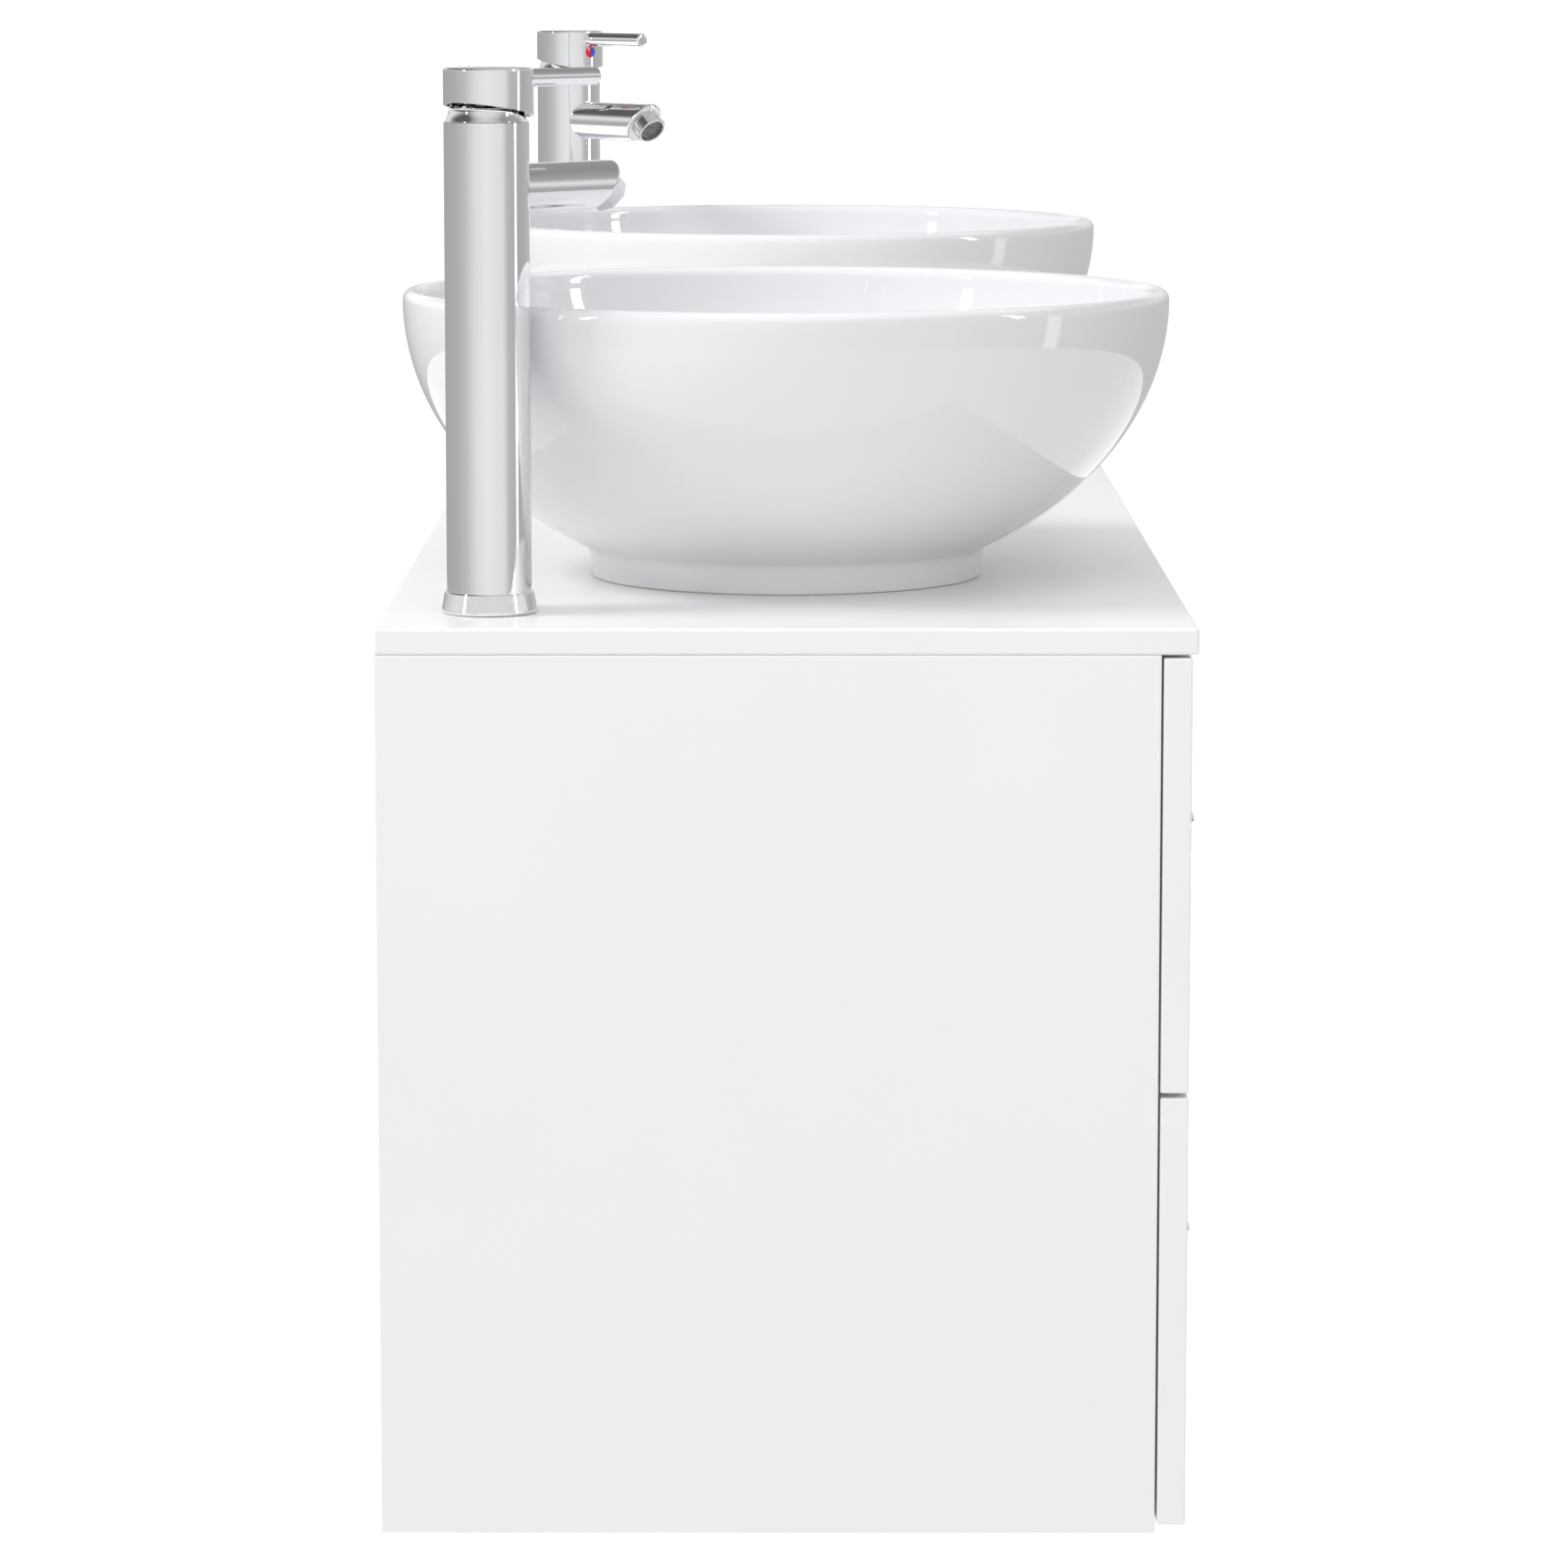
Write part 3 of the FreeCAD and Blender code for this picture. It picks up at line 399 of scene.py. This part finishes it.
BASIN_LIP = 5 * MM
BASIN_FOOT_R = 102 * MM
BASIN_FOOT_TOP_R = 104 * MM
BASIN_FOOT_HEIGHT = 15 * MM
BASIN_FLOOR = 17 * MM
RECESS_R = 86 * MM
RECESS_HEIGHT = 5 * MM
WASTE_HOLE_R = 22.95 * MM
WASTE_SEAT_R = 33.5 * MM
WALL_STEPS = 56
LIP_STEPS = 14


def basin_profile(radius, height):
    """The closed outline of a vessel basin, from its waste hole round the foot and lip and back."""
    lip_z = height - BASIN_LIP
    inner_r = radius - 2 * BASIN_LIP
    drop = (lip_z - BASIN_FOOT_HEIGHT) / math.sqrt(1 - (BASIN_FOOT_TOP_R / radius) ** 2)
    inner_drop = lip_z - BASIN_FLOOR
    outside = ellipse_points(radius, drop, lip_z, BASIN_FOOT_TOP_R + 2 * MM, radius, WALL_STEPS)
    inside = ellipse_points(inner_r, inner_drop, lip_z, inner_r, WASTE_SEAT_R + 1.5 * MM, WALL_STEPS)
    lip_turns = [math.pi * n / LIP_STEPS for n in range(1, LIP_STEPS)]
    lip_middle = Vector((radius - BASIN_LIP, lip_z))
    lip = [lip_middle + Vector((BASIN_LIP * math.cos(a), BASIN_LIP * math.sin(a))) for a in lip_turns]
    foot = rounded([
        (WASTE_HOLE_R, RECESS_HEIGHT, 0),
        (RECESS_R, RECESS_HEIGHT, 2 * MM),
        (RECESS_R + 2 * MM, 0, 1 * MM),
        (BASIN_FOOT_R, 0, 1.2 * MM),
        (BASIN_FOOT_TOP_R, BASIN_FOOT_HEIGHT, 3 * MM),
        (outside[0].x + 1 * MM, outside[1].y, 0),
    ])[:-1]
    seat = rounded([
        (inside[-1].x, inside[-1].y, 0),
        (WASTE_SEAT_R, inside[-1].y, 0.5 * MM),
        (WASTE_SEAT_R, BASIN_FLOOR, 0.6 * MM),
        (WASTE_HOLE_R, BASIN_FLOOR, 0.5 * MM),
        (WASTE_HOLE_R, RECESS_HEIGHT, 0),
    ])[1:-1]
    return foot + outside + lip + inside + seat


def build_basins():
    for side in SIDES:
        low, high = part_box("basin_" + side)
        bm = bmesh.new()
        profile = basin_profile((high.x - low.x) / 2, high.z - low.z)
        lathe(bm, profile, Matrix.Translation(basin_place(side)), 192, closed=True)
        basin = new_piece("vessel_basin_" + side, bm, [CERAMIC], 40)
        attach(basin, "cabinet")
        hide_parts("basin_" + side)


# Faucet details, drawn about the faucet's own axis with the spout along +X and the countertop at z = 0

FAUCET_R = 21.1 * MM
SHOULDER = 242 * MM
BONNET_HEIGHT = 8.5 * MM
BONNET_MOUTH_R = 11.4 * MM
SPOUT_REACH = 82.5 * MM
SPOUT_HEIGHT = 208.5 * MM
SPOUT_TILT = math.radians(39)
AERATOR_R = 10.4 * MM
AERATOR_LENGTH = 9 * MM
AERATOR_FACE_R = 8.2 * MM
AERATOR_NECK_R = 8.9 * MM
AERATOR_SIDES = 8
# Each corner of the housing is blunted within this turn each side, in radians, to this share of its reach
CORNER_SPREAD = 0.07
CORNER_REACH = 0.985
CAP_FRONT = 23.75 * MM
INDEX_R = 3.8 * MM
INDEX_HEIGHT = 254.6 * MM


def bonnet_profile():
    """The smooth ring on the pillar's shoulder, with a fine groove where it meets the pillar."""
    return rounded([
        (BONNET_MOUTH_R, SHOULDER + 0.2 * MM, 0),
        (FAUCET_R - 0.7 * MM, SHOULDER + 0.2 * MM, 0.3 * MM),
        (FAUCET_R - 2.1 * MM, SHOULDER + 3.4 * MM, 2 * MM),
        (FAUCET_R - 2.9 * MM, SHOULDER + BONNET_HEIGHT - 1.6 * MM, 1.6 * MM),
        (FAUCET_R - 6 * MM, SHOULDER + BONNET_HEIGHT, 1.4 * MM),
        (BONNET_MOUTH_R, SHOULDER + BONNET_HEIGHT, 0.3 * MM),
    ])


def build_bonnets():
    bm = bmesh.new()
    for side in SIDES:
        lathe(bm, bonnet_profile(), faucet_frame(side), 128, closed=True)
    bonnets = new_piece("bonnet_rings", bm, [CHROME])
    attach(bonnets, "cabinet")
    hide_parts("faucet_bonnets")


def aerator_frame(side):
    """Local Z runs out of the spout's slanted end."""
    tilt = Matrix.Rotation(math.pi / 2 + SPOUT_TILT, 4, "Y")
    return faucet_frame(side) @ Matrix.Translation((SPOUT_REACH, 0, SPOUT_HEIGHT)) @ tilt


def housing_rings(bm, place):
    """The eight-sided housing with softened corners and rims, hollow at the outlet."""
    corner = 0.55 * MM
    profile = [
        (0, -4 * MM, False),
        (AERATOR_NECK_R, -4 * MM, False),
        (AERATOR_NECK_R, 0, False),
        (AERATOR_R - corner, 0.05 * MM, True),
        (AERATOR_R, corner, True),
        (AERATOR_R, AERATOR_LENGTH - corner, True),
        (AERATOR_R - corner, AERATOR_LENGTH - 0.1 * MM, True),
        (AERATOR_FACE_R + 0.4 * MM, AERATOR_LENGTH, False),
        (AERATOR_FACE_R, AERATOR_LENGTH - 0.3 * MM, False),
        (AERATOR_FACE_R, AERATOR_LENGTH - 2.4 * MM, False),
        (0, AERATOR_LENGTH - 2.4 * MM, False),
    ]
    half_side = math.pi / AERATOR_SIDES
    turns = []
    for n in range(AERATOR_SIDES):
        corner_turn = 2 * half_side * n
        turns += [corner_turn - CORNER_SPREAD, corner_turn, corner_turn + CORNER_SPREAD]
        turns.append(corner_turn + half_side)
    rings = []
    for r, z, flat_sided in profile:
        if r == 0:
            rings.append([bm.verts.new(place @ Vector((0, 0, z)))])
            continue
        ring = []
        for turn in turns:
            reach = r
            if flat_sided:
                from_corner = (turn + half_side) % (2 * half_side) - half_side
                flat = r * math.cos(half_side) / math.cos(abs(from_corner) - half_side)
                reach = min(flat, r * CORNER_REACH)
            ring.append(bm.verts.new(place @ Vector((reach * math.cos(turn), reach * math.sin(turn), z))))
        rings.append(ring)
    for low, high in zip(rings, rings[1:]):
        bridge(bm, low, high, len(turns))


def screen_wires(bm, place):
    """A woven screen of round wires across the outlet, one layer over the other."""
    pitch = 1.0 * MM
    wire_r = 0.2 * MM
    count = int(AERATOR_FACE_R / pitch)
    for layer, turn in enumerate((0, math.pi / 2)):
        z = AERATOR_LENGTH - 1.3 * MM + layer * 1.6 * wire_r
        for n in range(-count, count + 1):
            offset = n * pitch
            half = math.sqrt(max(AERATOR_FACE_R ** 2 - offset ** 2, 0)) + 0.1 * MM
            lay = Matrix.Rotation(turn, 4, "Z") @ Matrix.Translation((offset, half, z))
            wire = place @ lay @ Matrix.Rotation(math.pi / 2, 4, "X")
            lathe(bm, [(0, 0), (wire_r, 0), (wire_r, 2 * half), (0, 2 * half)], wire, 8)


def build_aerators():
    housings = bmesh.new()
    screens = bmesh.new()
    for side in SIDES:
        housing_rings(housings, aerator_frame(side))
        screen_wires(screens, aerator_frame(side))
    housing = new_piece("aerator_housings", housings, [SATIN_CHROME], 18)
    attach(housing, "cabinet")
    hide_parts("aerators")
    screen = new_piece("aerator_screens", screens, [SCREEN])
    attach(screen, "cabinet")


def build_index_buttons():
    """Domed enamel buttons, red on the hot half and blue on the cold half."""
    for side in SIDES:
        place = faucet_frame(side) @ Matrix.Translation((CAP_FRONT, 0, INDEX_HEIGHT))
        place = place @ Matrix.Rotation(math.pi / 2, 4, "Y")
        bm = bmesh.new()
        profile = rounded([
            (0, -1.1 * MM, 0),
            (INDEX_R, -1.1 * MM, 0.1 * MM),
            (INDEX_R, 0.05 * MM, 0.12 * MM),
            (INDEX_R * 0.6, 0.24 * MM, 0.4 * MM),
            (0, 0.28 * MM, 0),
        ])
        faces = lathe(bm, profile, Matrix.Identity(4), 48)
        for face in faces:
            face.material_index = 1 if face.calc_center_median().y > 0 else 0
        bm.transform(place)
        button = new_piece("index_enamel_" + side, bm, [RED_ENAMEL, BLUE_ENAMEL])
        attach(button, "handle_" + side)
        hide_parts("index_button_" + side)


# Knobs

KNOB_R = 6.5 * MM
KNOB_NECK_R = 4.2 * MM
KNOB_LENGTH = 14.5 * MM


def knob_profile():
    """A small turned knob: a base flange, a waisted neck and a mushroom head with a softened rim."""
    return rounded([
        (0, 0, 0),
        (KNOB_NECK_R + 1 * MM, 0, 0.2 * MM),
        (KNOB_NECK_R + 1 * MM, 1.2 * MM, 0.4 * MM),
        (KNOB_NECK_R, 1.9 * MM, 0.3 * MM),
        (KNOB_NECK_R - 0.2 * MM, 5.6 * MM, 1.6 * MM),
        (KNOB_R, 9.6 * MM, 0.6 * MM),
        (KNOB_R - 0.4 * MM, 11.6 * MM, 0.8 * MM),
        (KNOB_R - 2.2 * MM, 13.7 * MM, 1.6 * MM),
        (0, KNOB_LENGTH, 0),
    ])


def build_knobs():
    for row in ROWS:
        for side in SIDES:
            node = row + "_" + side + "_knobs"
            low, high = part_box(node)
            bm = bmesh.new()
            for x in (low.x + KNOB_R, high.x - KNOB_R):
                root = Matrix.Translation((x, low.y + KNOB_LENGTH, (low.z + high.z) / 2))
                lathe(bm, knob_profile(), root @ Matrix.Rotation(math.pi / 2, 4, "X"), 64)
            knobs = new_piece(row + "_" + side + "_round_knobs", bm, [CHROME], 50)
            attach(knobs, row + "_" + side + "_drawer")
            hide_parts(node)


# Floor, light and camera

FLOOR_BELOW_CABINET = 0.4
FLOOR_R = 4.0
FLOOR_GLOW = 0.5


def build_floor():
    """A pale round floor with a faint glow that doesn't light the vanity."""
    bm = bmesh.new()
    lathe(bm, [(0, 0), (FLOOR_R, 0)], Matrix.Translation((0, 0, CABINET_BOTTOM_Z - FLOOR_BELOW_CABINET)))
    made = Shader("studio_floor", Emission_Color=(1, 1, 1, 1), Emission_Strength=FLOOR_GLOW)
    made.colour(made.blend(made.noise(3, 3), (0.93, 0.93, 0.93), (0.95, 0.95, 0.95)))
    made.roughness(made.ramp(made.noise(20, 3), 0.3, 0.7, 0.7, 0.9))
    floor = new_piece("floor", bm, [made.material])
    floor.visible_diffuse = False


def area_light(name, place, target, size, watts):
    """A soft panel that mirrors don't show, because they show the studio's bands instead."""
    data = bpy.data.lights.new(name, "AREA")
    data.shape = "RECTANGLE"
    data.size, data.size_y = size
    data.energy = watts
    lamp = bpy.data.objects.new(name, data)
    lamp.location = place
    lamp.rotation_euler = (Vector(target) - Vector(place)).to_track_quat("-Z", "Y").to_euler()
    lamp.visible_glossy = False
    lamp.visible_camera = False
    bpy.context.scene.collection.objects.link(lamp)


def build_lights():
    area_light("key", (-0.8, 1.7, 2.1), (0, -0.2, 0.3), (0.9, 0.7), 37)
    area_light("top", (-1.5, -0.2, 2.3), (0, -0.2, 0.2), (1.2, 1.2), 8)
    area_light("low_fill", (-2.2, -0.3, 0.33), (-0.5, -0.2, 0.23), (1.2, 0.24), 3)


# The studio that mirrors show. Its open end is at -X, the wall's side at +Y and the drawers' side at -Y.
# Round the horizon: (degrees from the open end towards the drawers, grey)
HORIZON_BANDS = (
    (-180, 0.4),
    (-90, 0.5),
    (-60, 0.6),
    (-30, 0.85),
    (0, 0.95),
    (45, 0.85),
    (60, 0.55),
    (83, 0.5),
    (84, 2.6),
    (89, 2.6),
    (90, 0.45),
    (180, 0.6),
)
# Upwards: (sine of the elevation, grey)
SKY_BANDS = (
    (0.0, 1.0),
    (0.25, 0.85),
    (0.4, 0.45),
    (0.68, 0.32),
    (0.74, 1.1),
    (0.8, 1.1),
    (0.84, 0.45),
    (1.0, 0.75),
)
# Tall strip lights: (degrees as above, half-width in degrees, sine of the elevation of the foot, of the head)
STRIP_LIGHTS = ((73, 2.2, 0.01, 0.45), (-62, 2, 0.05, 0.4))
STRIP_GREY = 22.0
STRIP_SIDE_FADE = 0.8
STRIP_LOWER_FADE = 0.02
STRIP_UPPER_FADE = 0.03
# High up on the wall's side, and above the open end
HIGH_WALL = (0.12, 0.12, 0.12)
OPEN_END = (0.82, 0.82, 0.82)

# The soft light's level from the drawers' side and from the wall's, and what it gains or loses elsewhere
SOFT_FRONT = 0.58
SOFT_WALL = 0.76
SOFT_BELOW = -0.15
SOFT_ENDS = 0.3
BACKDROP = 1.1


def band_ramp(shader, factor, bands):
    """A grey that follows (place, grey) bands, where factor runs from the first place to the last."""
    first = bands[0][0]
    last = bands[-1][0]
    made = shader.node("ShaderNodeValToRGB", Fac=shader.ramp(factor, first, last, 0, 1))
    stops = made.color_ramp.elements
    for place, _ in bands[1:-1]:
        stops.new((place - first) / (last - first))
    for stop, (_, grey) in zip(stops, bands):
        stop.color = (grey, grey, grey, 1)
    return made.outputs[0]


class WorldShader(Shader):
    """The same short calls for the world's nodes, where a place is the direction from which light comes."""

    def __init__(self, name):
        self.world = bpy.data.worlds.new(name)
        self.world.use_nodes = True
        self.nodes = self.world.node_tree.nodes
        self.links = self.world.node_tree.links
        self.nodes.clear()
        self.position = self.node("ShaderNodeTexCoord").outputs["Generated"]

    def background(self, colour, strength):
        made = self.node("ShaderNodeBackground", Strength=strength)
        if isinstance(colour, bpy.types.NodeSocket):
            self.links.new(colour, made.inputs["Color"])
        else:
            made.inputs["Color"].default_value = (*colour, 1)
        return made.outputs[0]

    def choose(self, ray, otherwise, chosen):
        """One shader for a kind of ray and another for the rest."""
        made = self.node("ShaderNodeMixShader", Fac=self.node("ShaderNodeLightPath").outputs[ray])
        self.links.new(otherwise, made.inputs[1])
        self.links.new(chosen, made.inputs[2])
        return made.outputs[0]


def strip_share(made, degrees, z, middle, half_width, bottom, top):
    """1 in a strip light and 0 outside it, fading at its sides and ends."""
    off = made.maths("ABSOLUTE", made.maths("SUBTRACT", degrees, middle))
    across = made.ramp(off, half_width - STRIP_SIDE_FADE, half_width, 1, 0)
    above_bottom = made.ramp(z, bottom, bottom + STRIP_LOWER_FADE, 0, 1)
    below_top = made.ramp(z, top, top + STRIP_UPPER_FADE, 1, 0)
    return made.maths("MULTIPLY", across, made.maths("MULTIPLY", above_bottom, below_top))


def mirrored_studio(made, x, y, z):
    """The colour that mirrors show in each direction."""
    turn = made.maths("ARCTAN2", made.maths("MULTIPLY", y, -1), made.maths("MULTIPLY", x, -1))
    degrees = made.maths("MULTIPLY", turn, 180 / math.pi)
    horizon = band_ramp(made, degrees, HORIZON_BANDS)
    sky = band_ramp(made, z, SKY_BANDS)
    over_wall = made.blend(made.ramp(z, 0.3, 0.45, 0, 1), sky, HIGH_WALL)
    sky = made.blend(made.ramp(y, -0.3, 0.6, 0, 1), sky, over_wall)
    sky = made.blend(made.ramp(x, -0.8, -0.45, 1, 0), sky, OPEN_END)
    mirrored = made.blend(made.ramp(z, -0.015, 0.2, 0, 1), horizon, sky)
    for strip in STRIP_LIGHTS:
        mirrored = made.blend(strip_share(made, degrees, z, *strip), mirrored, (STRIP_GREY,) * 3)
    return mirrored


def soft_level(made, x, y, z):
    """The brightness of the soft light from each direction."""
    from_wall = made.ramp(y, -1, 1, SOFT_FRONT, SOFT_WALL)
    from_above = made.ramp(z, -0.6, 0.4, SOFT_BELOW, 0)
    from_ends = made.ramp(made.maths("ABSOLUTE", x), 0, 1, 0, SOFT_ENDS)
    return made.maths("ADD", from_wall, made.maths("ADD", from_above, from_ends))


def build_world():
    """White to the camera, banded like a studio to mirrors, and a soft uneven light to everything else."""
    made = WorldShader("studio")
    x, y, z = made.along("X"), made.along("Y"), made.along("Z")
    mirrors = made.background(mirrored_studio(made, x, y, z), 1.0)
    soft = made.background((1, 1, 1), soft_level(made, x, y, z))
    unseen = made.choose("Is Glossy Ray", soft, mirrors)
    seen = made.choose("Is Camera Ray", unseen, made.background((1, 1, 1), BACKDROP))
    output = made.node("ShaderNodeOutputWorld")
    made.links.new(seen, output.inputs[0])
    bpy.context.scene.world = made.world


CAMERA_PLACE = (-3.3009, -0.19895, 0.5618)
CAMERA_PITCH = math.radians(7.338)
CAMERA_LENS = 129.15
CAMERA_SENSOR = 36
CAMERA_SHIFT = -0.08


def build_camera():
    """Looks along +X at the left end, a little downwards."""
    data = bpy.data.cameras.new("camera")
    data.sensor_width = CAMERA_SENSOR
    data.lens = CAMERA_LENS
    data.shift_y = CAMERA_SHIFT
    camera = bpy.data.objects.new("camera", data)
    camera.location = CAMERA_PLACE
    camera.rotation_euler = (math.pi / 2 - CAMERA_PITCH, 0, -math.pi / 2)
    bpy.context.scene.collection.objects.link(camera)
    bpy.context.scene.camera = camera


dress_frame()
build_basins()
build_bonnets()
build_aerators()
build_index_buttons()
build_knobs()
build_floor()
build_world()
build_lights()
build_camera()
bpy.context.scene.view_settings.view_transform = "Standard"
